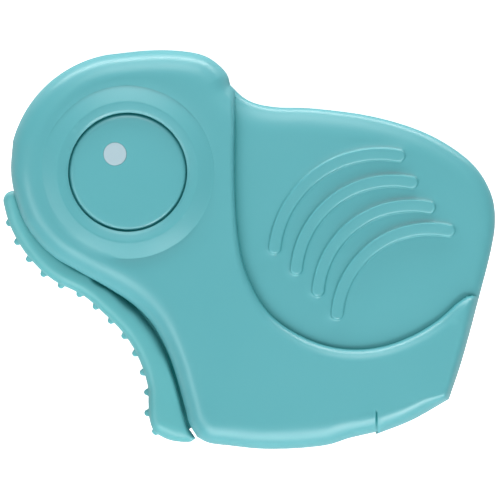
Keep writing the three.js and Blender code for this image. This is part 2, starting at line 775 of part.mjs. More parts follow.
// The part's own origin is under the middle of the whole, on the surface that it lies on.
const reach = new THREE.Box3().setFromObject(cutter);
const middle = reach.getCenter(new THREE.Vector3());
cutter.position.set(-middle.x, -middle.y, -reach.min.z);
console.log('pivot axis at', (-middle.x).toFixed(3), (-middle.y).toFixed(3));

export default cutter;
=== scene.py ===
# %% [markdown]
# # A folding rotary cutter
# The object is a sewing tool made of two moulded halves, a folding arm with a ridged spine, a big round
# button and a round steel blade that is folded away inside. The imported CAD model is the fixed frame: it
# gives the places and the joints, and this script dresses it with finer skins and finishes.
# All drawing is done in millimetres from the button's axis, which is also the hinge of the arm, because
# every curve of the object turns round that axis. One helper turns these numbers into metres at the end.

# %% Load the frame
import math

import bmesh
import bpy
import numpy as np
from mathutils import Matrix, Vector
from mathutils.geometry import delaunay_2d_cdt
from mathutils.kdtree import KDTree


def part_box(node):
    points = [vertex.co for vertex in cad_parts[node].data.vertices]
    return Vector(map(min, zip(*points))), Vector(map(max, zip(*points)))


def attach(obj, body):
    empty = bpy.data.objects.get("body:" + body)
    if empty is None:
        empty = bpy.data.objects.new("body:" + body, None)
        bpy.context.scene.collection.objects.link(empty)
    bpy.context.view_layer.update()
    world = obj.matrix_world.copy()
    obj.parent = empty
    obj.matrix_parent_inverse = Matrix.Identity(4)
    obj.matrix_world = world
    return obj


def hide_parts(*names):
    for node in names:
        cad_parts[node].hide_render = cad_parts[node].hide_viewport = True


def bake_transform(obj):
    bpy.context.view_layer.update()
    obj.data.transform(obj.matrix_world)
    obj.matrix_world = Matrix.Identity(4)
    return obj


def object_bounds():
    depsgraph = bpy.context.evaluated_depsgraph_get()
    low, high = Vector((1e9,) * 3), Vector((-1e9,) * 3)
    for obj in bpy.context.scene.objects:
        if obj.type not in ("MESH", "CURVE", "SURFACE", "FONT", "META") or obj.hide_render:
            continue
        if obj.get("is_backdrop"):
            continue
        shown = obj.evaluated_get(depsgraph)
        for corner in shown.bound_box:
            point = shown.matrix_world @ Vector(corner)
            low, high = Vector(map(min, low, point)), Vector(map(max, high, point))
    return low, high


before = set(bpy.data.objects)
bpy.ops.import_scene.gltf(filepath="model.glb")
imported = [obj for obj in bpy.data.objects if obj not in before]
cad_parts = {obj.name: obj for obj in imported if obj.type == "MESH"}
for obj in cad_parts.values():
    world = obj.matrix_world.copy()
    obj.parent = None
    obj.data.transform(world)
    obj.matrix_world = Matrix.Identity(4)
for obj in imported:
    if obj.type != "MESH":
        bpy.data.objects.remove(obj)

cad_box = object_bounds()
MM = 0.001
bush_low, bush_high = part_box("pivot_bush")
PIVOT = (bush_low + bush_high) / 2
print("hinge axis at", [round(v / MM, 3) for v in PIVOT[:2]], "mm")

# %% [markdown]
# ## Camera
# A catalogue picture of a flat tool is taken straight from above with a long lens, so that the sides stay
# hidden and the outline keeps its proportions. A camera 1.6 m up that sees a field of 110 mm does the same.

# %% Camera
FIELD, HEIGHT = 0.1092, 1.6
FACE_HEIGHT = 0.018
AIM = (0.0003, -0.0001)
SENSOR = 36.0
camera_data = bpy.data.cameras.new("catalogue_camera")
camera_data.sensor_width = SENSOR
camera_data.lens = SENSOR * (HEIGHT - FACE_HEIGHT) / FIELD
camera_data.clip_end = 20
camera = bpy.data.objects.new("catalogue_camera", camera_data)
camera.location = (*AIM, HEIGHT)
scene = bpy.context.scene
scene.collection.objects.link(camera)
scene.camera = camera
print("lens", round(camera_data.lens), "mm")

# %% [markdown]
# ## Light and floor
# The photograph has no shadow on its white ground, and slopes that face the lamps shine softly while the
# flat tops stay plain. That is a light table under the tool, a large lamp behind it, a wide one in front,
# three small ones at the left and in the near corner, and a low strip at the back. The lamps stand about
# half way up the sky, because a slope of 23 degrees mirrors what is 46 degrees from overhead, and the
# rounded edges show such a slope all round. Catalogue pictures get their ground whitened afterwards, so the
# table and the sky are bright where the camera sees them and dimmer in what they throw on the tool.
# All shader nodes are made by one helper, which takes the values and the links of the inputs together.

# %% Tent of light
def feed(node_made, inputs):
    """Gives inputs of a node values of their own, or links from the outputs of others."""
    for label, value in dict(inputs).items():
        if isinstance(value, bpy.types.NodeSocket):
            node_made.id_data.links.new(value, node_made.inputs[label])
        else:
            node_made.inputs[label].default_value = value


def make(tree, kind, inputs=(), **settings):
    """A new shader node with its settings made and its inputs fed."""
    made = tree.nodes.new("ShaderNode" + kind)
    for key, value in settings.items():
        setattr(made, key, value)
    feed(made, inputs)
    return made


def grey(value):
    return (value, value, value, 1)


SKY_LOW, SKY_HIGH, SKY_STRENGTH, BACKDROP = 0.25, 0.55, 0.32, 0.9
scene.view_settings.view_transform = "Standard"
world = bpy.data.worlds.new("light_tent")
scene.world = world
world.use_nodes = True
sky = world.node_tree
sky.nodes.clear()
split = make(sky, "SeparateXYZ", {0: make(sky, "TexCoord").outputs["Generated"]})
ramp = make(sky, "ValToRGB", {0: split.outputs["Z"]})
for stop, tone in zip(ramp.color_ramp.elements, (SKY_LOW, SKY_HIGH)):
    stop.color = grey(tone)
light = make(sky, "Background", {"Color": ramp.outputs[0], "Strength": SKY_STRENGTH})
backdrop = make(sky, "Background", {"Color": grey(BACKDROP)})
seen = make(sky, "LightPath").outputs["Is Camera Ray"]
pick = make(sky, "MixShader", {0: seen, 1: light.outputs[0], 2: backdrop.outputs[0]})
make(sky, "OutputWorld", {"Surface": pick.outputs[0]})


def softbox(name, azimuth, zenith, size, radiance):
    """A rectangular lamp one metre from the object, placed by its direction, that looks at the object."""
    data = bpy.data.lights.new(name, "AREA")
    data.shape = "RECTANGLE"
    data.size, data.size_y = size
    data.energy = radiance * math.pi * size[0] * size[1]
    lamp = bpy.data.objects.new(name, data)
    turn, tilt = math.radians(azimuth), math.radians(zenith)
    lamp.location = (math.sin(tilt) * math.cos(turn), math.sin(tilt) * math.sin(turn), math.cos(tilt))
    lamp.rotation_euler = lamp.location.to_track_quat("Z", "Y").to_euler()
    scene.collection.objects.link(lamp)


softbox("back_light", 92, 46, (0.6, 0.5), 4.7)
softbox("back_strip", 90, 85, (1.6, 0.15), 22.0)
softbox("left_light", 200, 50, (0.4, 0.3), 5.5)
softbox("front_left_light", 238, 44, (0.35, 0.35), 5.2)
softbox("front_light", 272, 60, (0.9, 0.6), 4.9)
softbox("corner_light", -62, 47, (0.2, 0.2), 29.0)


# %% Light table
def new_material(name):
    """A material with its node tree and its Principled shader."""
    made = bpy.data.materials.new(name)
    made.use_nodes = True
    return made, made.node_tree, made.node_tree.nodes["Principled BSDF"]


def calc(how, a, b):
    """One step of arithmetic between a socket and another socket or a number."""
    return make(a.id_data, "Math", {0: a, 1: b}, operation=how).outputs[0]


def times(a, b):
    return calc("MULTIPLY", a, b)


def mixed(first, second, share):
    """Two colours mixed by a socket."""
    inputs = {"A": first, "B": second, "Factor": share}
    return make(share.id_data, "Mix", inputs, data_type="RGBA").outputs["Result"]


TABLE_DIM, TABLE_SEEN, TABLE_GLOW = 0.62, 0.93, 0.7
floor_mesh = bpy.data.meshes.new("light_table")
half = 3.0
corners = [(-half, -half, 0), (half, -half, 0), (half, half, 0), (-half, half, 0)]
floor_mesh.from_pydata(corners, [], [(0, 1, 2, 3)])
floor = bpy.data.objects.new("light_table", floor_mesh)
scene.collection.objects.link(floor)
opal, opal_tree, shader = new_material("opal_acrylic")
seen = make(opal_tree, "LightPath").outputs["Is Camera Ray"]
feed(shader, {
    "Base Color": mixed(grey(TABLE_DIM), grey(TABLE_SEEN), seen),
    "Emission Color": grey(1),
    "Emission Strength": times(seen, TABLE_GLOW),
    "Roughness": 0.9,
})
floor_mesh.materials.append(opal)
floor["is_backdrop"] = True
print("light table:", 2 * half, "m wide")

# %% [markdown]
# ## Curves
# The outlines are smooth curves through a few measured points, with real corners only where the object has
# them. A centripetal Catmull-Rom curve passes through each point and never loops, and the CAD model uses
# the same kind, so the two outlines lie close together.


# %% Curve helpers
def polar(radius, degrees):
    turn = math.radians(degrees)
    return (radius * math.cos(turn), radius * math.sin(turn))


def even(points, step):
    """The same run with points at even steps."""
    run = np.r_[0, np.cumsum(np.linalg.norm(np.diff(points, axis=0), axis=1))]
    at = np.linspace(0, run[-1], max(2, round(run[-1] / step)) + 1)
    return np.c_[np.interp(at, run, points[:, 0]), np.interp(at, run, points[:, 1])]


def smooth(points, step):
    """Even points along a centripetal Catmull-Rom curve."""
    p = np.array(points, float)
    p = np.vstack([2 * p[0] - p[1], p, 2 * p[-1] - p[-2]])
    u = np.linspace(0, 1, 40, endpoint=False)[:, None]
    pieces = []
    for a, b, c, d in zip(p, p[1:], p[2:], p[3:]):
        before, here, after = (math.sqrt(np.linalg.norm(v)) for v in (b - a, c - b, d - c))
        m = ((b - a) / before - (c - a) / (before + here) + (c - b) / here) * here
        n = ((c - b) / here - (d - b) / (here + after) + (d - c) / after) * here
        pieces.append(b + m * u + (3 * (c - b) - 2 * m - n) * u**2 + (2 * (b - c) + m + n) * u**3)
    return even(np.vstack(pieces + [p[-2:-1]]), step)


def arc(radius, start, end, step, centre=(0, 0)):
    count = max(2, round(abs(math.radians(end - start)) * radius / step))
    turn = np.radians(np.linspace(start, end, count + 1))
    return np.array(centre) + radius * np.c_[np.cos(turn), np.sin(turn)]


def flow(x, knots):
    """A smooth curve through knots that never overshoots them."""
    kx, ky = np.array(knots, float).T
    slope = np.diff(ky) / np.diff(kx)
    same = slope[1:] * slope[:-1] > 0
    inner = np.where(same, 2 * slope[1:] * slope[:-1] / np.where(same, slope[1:] + slope[:-1], 1), 0)
    m = np.r_[0, inner, 0]
    x = np.clip(x, kx[0], kx[-1])
    i = np.clip(np.searchsorted(kx, x, side="right") - 1, 0, len(kx) - 2)
    span = kx[i + 1] - kx[i]
    t = (x - kx[i]) / span
    return (
        (1 + 2 * t) * (1 - t) ** 2 * ky[i]
        + t * (1 - t) ** 2 * span * m[i]
        + t * t * (3 - 2 * t) * ky[i + 1]
        + t * t * (t - 1) * span * m[i + 1]
    )


print("a test arc has", len(arc(10, 0, 90, 1)), "points")

# %% [markdown]
# ## The casing's outline
# Seen from the front the casing is a round head, a long belly, a pointed tail and a wing. Both halves have
# the same outline, as they are moulded to close on each other. It is kept as separate runs, because a
# run's ends are the places where the edge has a corner.

# %% Casing outline
HEAD, HEAD_START, HEAD_END = 26.2, 100, 165
NECK = (22.4, 19.1)
MOUTH_END = (15.1, -58)
STEP = 0.6
MOUTH = [polar(HEAD, HEAD_END), (0.5 - HEAD, 0), (-24.8, -5.2), (-22.9, -10.7), (-19.9, -15.1),
         (-16.3, -18.5), (-10.5, -21.9), (-4.6, -25.2), (1.3, -29.1), (5.1, -33), (7.7, -37.4), (9.5, -41.6),
         (11, -46.4), (12.4, -51.5), (13.3, -54.9), MOUTH_END]
BELLY = [MOUTH_END, (17.4, -59.2), (22.3, -59.9), (29.3, -60.6), (38.2, -60.4), (44.3, -59.6), (48.3, -58.3),
         (54.4, -56.9)]
BOTTOM = [(54.4, -57.4), (62.2, -54.3), (70.3, -49.7)]
WING = [(73.1, -41.3), (76.8, -27.7), (79.6, -16.6), (80.4, -11.2), (80, -6.2), (78.2, -1.8), (75.5, 1.8),
        (71, 5.4), (65.2, 8.6), (58.5, 11), (51.7, 12.6), (45.4, 13.5), (39.1, 14.1), (32.4, 14.3),
        (28, 15.1), (25.3, 16.4), NECK]
CROWN = [NECK, (21.6, 21.6), (18.5, 24.6), (15.7, 25.9), (10.4, 26.7), (4, 26.7),
         polar(HEAD, HEAD_START)]
EDGE_MIDDLE = np.array([28.9, -21.5])
SKIN, SKIN_MIDDLE = 0.9985, np.array([28.9, 12.7])


def casing_runs(step=STEP, corner=True):
    """The outline anticlockwise, run by run: mouth, belly, bottom, wing, crown, head.

    It is drawn a little inside the CAD outline, which has flats in place of curves."""
    belly = BELLY if corner else BELLY[:-1] + BOTTOM[:1]
    runs = [smooth(r, step) for r in (MOUTH, belly, BOTTOM, BOTTOM[-1:] + WING, CROWN)]
    return [SKIN_MIDDLE + (r - SKIN_MIDDLE) * SKIN for r in runs + [arc(HEAD, HEAD_START, HEAD_END, step)]]


def loop_of(runs):
    """One closed loop, without the point that each run shares with the next."""
    parts = []
    for run, following in zip(runs, runs[1:] + runs[:1]):
        joined = np.linalg.norm(run[-1] - following[0]) < 1e-6
        parts.append(run[:-1] if joined else run)
    return np.vstack(parts)


outline_runs = casing_runs()
outline = loop_of(outline_runs)
print("outline points:", len(outline))

# %% [markdown]
# ## Distances
# A moulded shell is easiest to describe by distances: how far a point is from the edge decides how much it
# has rounded off, how far it is from the thumb rest's crease decides how much it has sunk. One class
# measures the distance to a run of points, its side, and the nearest place on it.


# %% Distance to a curve
class Curve:
    """A run of points, joined by straight pieces, that distances are measured to."""

    def __init__(self, points, closed):
        self.a = points if closed else points[:-1]
        self.b = np.roll(points, -1, 0) if closed else points[1:]
        self.along = self.b - self.a
        self.square = (self.along**2).sum(1)
        self.run = np.r_[0, np.cumsum(np.sqrt(self.square))][:-1]

    def measure(self, points):
        """Signed distance (positive to the left of the curve), foot point, and length along the curve."""
        dist, foot, run = [], [], []
        for p in np.array_split(points, max(1, len(points) // 1500)):
            t = ((p[:, None] - self.a) * self.along).sum(2) / self.square
            t = np.clip(t, 0, 1)
            near = self.a + t[..., None] * self.along
            square = ((p[:, None] - near) ** 2).sum(2)
            # a corner belongs to both its pieces: the one that the point lies beside gives the side
            i = np.argmin(square, 1)
            row = np.arange(len(p))
            f = near[row, i]
            d = p - f
            (ax, ay), (bx, by) = self.along[i].T, (p - self.a[i]).T
            side = np.sign(ax * by - ay * bx)
            dist.append(side * np.sqrt((d**2).sum(1)))
            foot.append(f)
            run.append(self.run[i] + t[row, i] * np.sqrt(self.square[i]))
        return np.concatenate(dist), np.vstack(foot), np.concatenate(run)


def inside(loops, points):
    """True where a point is within the first loop and in none of the others (even-odd rule)."""
    answer = []
    for p in np.array_split(points, max(1, len(points) // 4000)):
        crossings = np.zeros(len(p), int)
        for loop in loops:
            a, b = loop, np.roll(loop, -1, 0)
            spans = (a[:, 1] > p[:, None, 1]) != (b[:, 1] > p[:, None, 1])
            rise = np.where(b[:, 1] == a[:, 1], 1, b[:, 1] - a[:, 1])
            at = a[:, 0] + (p[:, None, 1] - a[:, 1]) * (b[:, 0] - a[:, 0]) / rise
            crossings += (spans & (p[:, None, 0] < at)).sum(1)
        answer.append(crossings % 2 == 1)
    return np.concatenate(answer)


edge = Curve(outline, True)
print("middle of the belly is", round(edge.measure(EDGE_MIDDLE[None])[0][0], 2), "mm from the edge")

# %% [markdown]
# ## The height of the casing
# The front face is one continuous surface: a flat crown with a wide rounded edge, a thumb rest sunk
# 2.4 mm, four curved ribs, and round the button a raised ring that slopes outwards to a creased valley.
# A shallow groove at the lower edge marks the end of the side that is open for the arm.
# It could be sculpted, but every part of it has a plain rule, so it is written as a height for each point.

# %% Height of the faces
MIDDLE_Z = 10
CROWN_Z, FLOOR_Z, ROUND_Z = 20.0, 17.6, 14.8
CREASE = [(23.4, 26), (23.4, 18.8), (23.4, 9.3), (23.4, -4), (24.05, -13.4), (25.3, -20.2), (28.2, -27),
          (31.4, -31.3), (36.7, -35.15), (42.9, -37.75), (49.5, -38.7), (56, -37.95), (62.4, -35.55),
          (67.9, -32.15), (71.9, -28.6), (73.5, -27.5), (74.8, -27), (76.1, -27.1), (77.4, -28.3),
          (79.4, -31.4)]
crease_run = smooth(CREASE, STEP)
crease = Curve(crease_run, False)
# place along the crease, width of its slope
SLOPE = [(0, 1.1), (32, 1.1), (43, 1.5), (55, 2.1), (66, 2.7), (80, 3), (97, 3), (108, 2), (116, 1.5),
         (128, 1.5)]
EDGE_FROM = -115
# direction from the middle of the belly, width of the rounded edge
EDGE_WIDTH = [(EDGE_FROM, 4.6), (-98, 5.3), (-77, 5.6), (-63, 4.9), (-56, 4.2), (-45, 3.8), (-40, 3.5),
              (-34.3, 1.8), (-20, 2), (-5, 3), (12, 3.5), (34, 4.6), (55, 5.4), (70, 5.8), (121, 6),
              (145, 6.4), (165, 6.6), (198, 6), (210, 5.6), (225, 4.8), (245, 4.6)]
# radius, height over the crown
RING = [(13.2, 0.15), (13.35, 0.28), (14.2, 0.52), (15, 0.68), (15.25, 0.72), (15.4, 0.72), (15.6, 0.67),
        (16.6, 0.38), (18.2, -0.13), (18.82, -0.33), (18.9, -0.35), (18.98, -0.335), (19.15, -0.3),
        (19.5, -0.23), (20, -0.155), (20.8, -0.06), (21.6, -0.01), (22.2, 0)]
# middle, radius, first and last angle of each rib
RIBS = [(55, -19.1, 23.1, 79.5, 173.5), (57.8, -22.9, 21.1, 78.5, 175), (61.75, -27.55, 20.3, 78.5, 175),
        (65.9, -32.6, 20.3, 78, 175)]
# distance outwards from a rib's middle line, height
RIB_SECTION = [(-1.66, 0), (-1.52, 0.04), (-1.4, 0.24), (-1.24, 0.42), (-1.05, 0.52), (-0.5, 0.64), (0, 0.72),
               (0.6, 0.81), (0.98, 0.86), (1.16, 0.83), (1.28, 0.7), (1.38, 0.44), (1.48, 0.31), (1.8, 0.19),
               (2.4, 0.07), (3, 0.01), (3.3, 0)]
SEAM_X, SEAM_TOP, SEAM_HALF, SEAM_DEPTH = 54.32, -51.7, 0.16, 0.4
ON_EDGE = 0.002


def edge_width(foot):
    """How wide the edge is rounded, by the direction of the nearest place on the outline."""
    away = foot - EDGE_MIDDLE
    turn = np.degrees(np.arctan2(away[:, 1], away[:, 0]))
    return flow(np.where(turn < EDGE_FROM, turn + 360, turn), EDGE_WIDTH)


def rib_height(points):
    """Height of the ribs. Each rises gently from its outer side and ends sharply at its inner side."""
    best = np.zeros(len(points))
    for x, y, radius, start, end in RIBS:
        p = points - (x, y)
        turn = np.degrees(np.arctan2(p[:, 1], p[:, 0])) % 360
        outward = p / np.maximum(np.hypot(*p.T), 1e-6)[:, None]
        tip = p - np.array([polar(radius, t) for t in np.clip(turn, start, end)])
        away = np.hypot(*tip.T)
        share = (1 + (tip * outward).sum(1) / np.maximum(away, 1e-6)) / 2
        best = np.maximum(best, share * flow(away, RIB_SECTION) + (1 - share) * flow(-away, RIB_SECTION))
    return best


def face_height(points, ring=True):
    """Height of the casing's face over the table, for points inside the outline."""
    d, foot, _ = edge.measure(points)
    side, _, run = crease.measure(points)
    rise = np.clip(-side / flow(run, SLOPE), 0, 1)
    top = FLOOR_Z + (CROWN_Z - FLOOR_Z) * np.sqrt(1 - (1 - rise) ** 2)
    top += rib_height(points)
    if ring:
        top += flow(np.hypot(*points.T), RING)
        beside = np.exp(-(((points[:, 0] - SEAM_X) / SEAM_HALF) ** 2))
        top -= SEAM_DEPTH * beside * np.clip((SEAM_TOP - points[:, 1]) / 0.8, 0, 1)
    share = 1 - np.clip(np.where(np.abs(d) < ON_EDGE, 0, np.abs(d)) / edge_width(foot), 0, 1)
    return ROUND_Z + (top - ROUND_Z) * np.sqrt(np.clip(1 - share * share, 0, 1))


samples = np.array([(0.0, 18.9), (50.0, -8.0), (15.4, 0.0), (58.4, 3.8)])
print("heights of valley, thumb rest, ring and rib:", np.round(face_height(samples), 2))

# %% [markdown]
# ## Skins
# A skin is a set of flat fills and upright walls that meet edge to edge and are welded into one closed
# mesh. The fills come from a Delaunay triangulation. Its points are laid in rows along each feature, as a
# modeller would lay edge loops, and an even grid fills the rest, so highlights run clean along the edges.


# %% Skin helpers
def fill(loops, points=None):
    """Triangles between closed loops, with more points inside if they are given."""
    loops = [np.asarray(loop, float) for loop in loops]
    all_points = np.vstack(loops + ([points] if points is not None else []))
    edges, start = [], 0
    for loop in loops:
        count = len(loop)
        edges += [(start + i, start + (i + 1) % count) for i in range(count)]
        start += count
    made = delaunay_2d_cdt([Vector(p) for p in all_points], edges, [], 0, 1e-6)
    verts = np.array([v[:] for v in made[0]])
    faces = np.array(made[2])
    return verts, faces[inside(loops, verts[faces].mean(1))]


def clean(mesh, weld, sharp=40):
    """Welds a mesh, turns its faces outwards and shades it smooth between its sharp edges."""
    shape = bmesh.new()
    shape.from_mesh(mesh)
    bmesh.ops.remove_doubles(shape, verts=shape.verts, dist=weld)
    bmesh.ops.delete(shape, geom=[v for v in shape.verts if not v.link_faces], context="VERTS")
    bmesh.ops.dissolve_degenerate(shape, dist=1e-7, edges=shape.edges)
    bmesh.ops.recalc_face_normals(shape, faces=shape.faces)
    open_edges = sum(not e.is_manifold for e in shape.edges)
    shape.to_mesh(mesh)
    shape.free()
    mesh.shade_smooth()
    mesh.set_sharp_from_angle(angle=math.radians(sharp))
    print(mesh.name, "has", len(mesh.vertices), "points,", open_edges, "open edges")


class Skin:
    """Surfaces in millimetres from the hinge axis, welded into one closed object by done()."""

    def __init__(self):
        self.verts, self.faces, self.count = [], [], 0

    def add(self, verts, faces):
        self.verts.append(np.asarray(verts, float))
        self.faces += [[int(v) + self.count for v in face] for face in faces]
        self.count += len(verts)

    def flat(self, loops, z, points=None):
        """A level fill, or one that follows a height function."""
        verts, faces = fill(loops, points)
        height = z(verts) if callable(z) else np.full(len(verts), float(z))
        self.add(np.c_[verts, height], faces)

    def wall(self, run, low, high, closed=True):
        """An upright band under or over a run of points."""
        count = len(run)
        low, high = (np.broadcast_to(np.asarray(z, float), count) for z in (low, high))
        pairs = [(i, (i + 1) % count) for i in range(count if closed else count - 1)]
        self.add(np.vstack([np.c_[run, low], np.c_[run, high]]),
                 [(a, b, b + count, a + count) for a, b in pairs])

    def rows(self, rows):
        """Bands between closed rows of points that have equal counts."""
        count = len(rows[0])
        pairs = [(k + i, k + (i + 1) % count) for k in range(0, count * (len(rows) - 1), count)
                 for i in range(count)]
        self.add(np.vstack(rows), [(a, b, b + count, a + count) for a, b in pairs])

    def steps(self, runs, levels):
        """Upright walls at the runs, each from one level to the next, with level rings between them."""
        for i, run in enumerate(runs):
            self.wall(run, levels[i], levels[i + 1])
            if i > 0:
                self.flat([runs[i - 1], run], levels[i])

    def done(self, name, sharp=40):
        verts = np.vstack(self.verts) * MM + np.array([PIVOT.x, PIVOT.y, 0])
        mesh = bpy.data.meshes.new(name)
        mesh.from_pydata(verts.tolist(), [], self.faces)
        clean(mesh, 0.002 * MM, sharp)
        made = bpy.data.objects.new(name, mesh)
        scene.collection.objects.link(made)
        return made


def thinned(kept, fresh, clear):
    """Those fresh points that stay clear of every kept one."""
    tree = KDTree(len(kept))
    for i, (x, y) in enumerate(kept):
        tree.insert((x, y, 0), i)
    tree.balance()
    return fresh[[tree.find((x, y, 0))[2] > clear for x, y in fresh]]


def normals(run):
    """The left-hand normal at each point of an open run."""
    t = np.gradient(run, axis=0)
    t /= np.linalg.norm(t, axis=1)[:, None]
    return np.c_[-t[:, 1], t[:, 0]]


def rows_beside(run, offsets):
    """Rows of points at each offset to the left of a run."""
    n = normals(run)
    return np.vstack([run + n * np.asarray(o)[..., None] for o in offsets])


print("skin helpers are ready")

# %% [markdown]
# ## Points for the casing's face
# Rows follow the outer edge at the angles of its quarter round, then the crease, the ring and the ribs.
# Points of one feature that fall on another's are left out, and so are those past a corner.

# %% Points of the casing's face
GRID = 0.9
RING_ROWS = [13.27, 13.36, 13.6, 13.9, 14.3, 14.7, 15, 15.2, 15.3, 15.4, 15.5, 15.65, 16, 16.6, 17.3, 18,
             18.4, 18.65, 18.8, 18.86, 18.9, 18.95, 19.03, 19.2, 19.5, 20, 20.6, 21.3, 22.1, 22.8]
RIB_ROWS = [0.5, 0.85, 1, 1.1, 1.18, 1.24, 1.3, 1.35, 1.4, 1.46, 1.52, 1.6, 1.75, 2.1, 2.6, 3.2]
ROUND_ANGLES = np.radians([9, 18, 27, 36, 45, 54, 63, 72, 81, 90])
CREASE_SHARES = (-0.25, 0, 0.012, 0.04, 0.08, 0.13, 0.19, 0.26, 0.34, 0.43, 0.53, 0.64, 0.76, 0.88, 1, 1.25)


def round_row(count, radius, centre=(0, 0)):
    """Points at even angles round a centre."""
    turn = np.linspace(0, 2 * math.pi, count, endpoint=False)
    return np.array(centre) + radius * np.c_[np.cos(turn), np.sin(turn)]


def circle(radius, centre=(0, 0), step=0.5):
    """Points at about even steps round a centre."""
    return round_row(max(12, round(2 * math.pi * radius / step)), radius, centre)


def face_points(ring=True):
    """All points of the face but the outline's own, with those of the ring and the seam for the front."""
    rows = []
    for run in outline_runs:
        width = edge_width(run)
        for inset in [width * (1 - math.cos(turn)) for turn in ROUND_ANGLES] + [width + 0.5]:
            rows.append((rows_beside(run, [inset]), inset))
    kept = [outline]
    for row, inset in rows:
        d = edge.measure(row)[0]
        kept.append(row[(np.abs(d - inset) < 0.03) & (d > 0.005)])
    kept = np.vstack(kept)
    slope = flow(crease.measure(crease_run)[2], SLOPE)
    features = [rows_beside(crease_run, [-slope * s for s in CREASE_SHARES])]
    if ring:
        features.append(np.vstack([round_row(230, r) for r in RING_ROWS]))
        seam = np.c_[np.full(14, SEAM_X), np.linspace(-57, SEAM_TOP + 0.5, 14)]
        features.insert(0, rows_beside(seam, [-0.45, -0.3, -0.2, -0.1, 0, 0.1, 0.2, 0.3, 0.45]))
    for x, y, radius, start, end in RIBS:
        middle_line = arc(radius, start, end, 0.5, (x, y))
        ribs = [middle_line] + [rows_beside(middle_line, [o, -o]) for o in RIB_ROWS]
        for turn, first in ((start, start + 180), (end, end)):
            tip = np.array(polar(radius, turn)) + (x, y)
            ribs += [arc(o, first + 12, first + 168, 0.4, tip) for o in RIB_ROWS]
        features.append(np.vstack(ribs))
    for fresh in features:
        d, foot, _ = edge.measure(fresh)
        beyond = np.where(np.abs(fresh[:, 0] - SEAM_X) < 0.5, 0.02, edge_width(foot) + 0.3)
        beyond = np.where((np.abs(crease.measure(fresh)[0]) < 1.5) | (rib_height(fresh) > 0.01), 0.2, beyond)
        fresh = fresh[d > beyond]
        kept = np.vstack([kept, thinned(kept, fresh, 0.1)])
    low, high = outline.min(0), outline.max(0)
    xs, ys = np.arange(low[0], high[0], GRID), np.arange(low[1], high[1], GRID * math.sqrt(3) / 2)
    grid = np.array([(x + GRID / 2 * (j % 2), y) for j, y in enumerate(ys) for x in xs])
    grid = grid[edge.measure(grid)[0] > 0.4]
    kept = np.vstack([kept, thinned(kept, grid, 0.55)])
    return kept[len(outline):]


front_points = face_points()
print("points on the front face:", len(front_points))

# %% [markdown]
# ## The two halves of the casing
# Inside, a moulded half is a thin shell: a wall 2.2 mm thick, a roof, a round land that the arm's hub runs
# against, and bosses for three screws. Towards the left the wall is cut lower, because the arm swings out
# there. The halves are drawn alike, and the rear one is turned over and gets the holes for the screws.

# %% Halves of the casing
RIM_Z, MOUTH_Z, ROOF_Z = 10.15, 14.8, 15.4
WALL = 2.2
WELL, POCKET, POCKET_Z = 13.0, 14.6, 17.9
LAND_OUT = 19.5
BOSS = 4.2
SCREWS = [(29, 7.6), (71, -6.5), (60.5, -46.4)]
SCREW_HOLE, SCREW_SINK, SCREW_SEAT_Z = 1.7, 3.2, 4.1
BUSH_ROOM, BUSH_SEAT_Z, PIVOT_SEAT_Z = 9.6, 4.6, 2.5
# from this place on the head, clockwise to the seam, the side wall has its full height
WALL_START = polar(HEAD + 0.4, 72.4)


def drawn_in(loop, inset, limit=1.6):
    """A loop drawn in towards the middle of the belly."""
    ray = EDGE_MIDDLE - loop
    ray /= np.linalg.norm(ray, axis=1)[:, None]
    t = np.roll(loop, -1, 0) - np.roll(loop, 1, 0)
    normal = np.c_[-t[:, 1], t[:, 0]] / np.linalg.norm(t, axis=1)[:, None]
    slant = np.minimum(limit, 1 / np.maximum(0.01, (normal * ray).sum(1)))
    return loop + ray * (inset * slant)[:, None]


def nearest(loop, point):
    return int(np.argmin(((loop - np.array(point)) ** 2).sum(1)))


def between(loop, start, end):
    """The part of a closed loop from one index to another, both kept."""
    count = (end - start) % len(loop)
    return loop[(start + np.arange(count + 1)) % len(loop)]


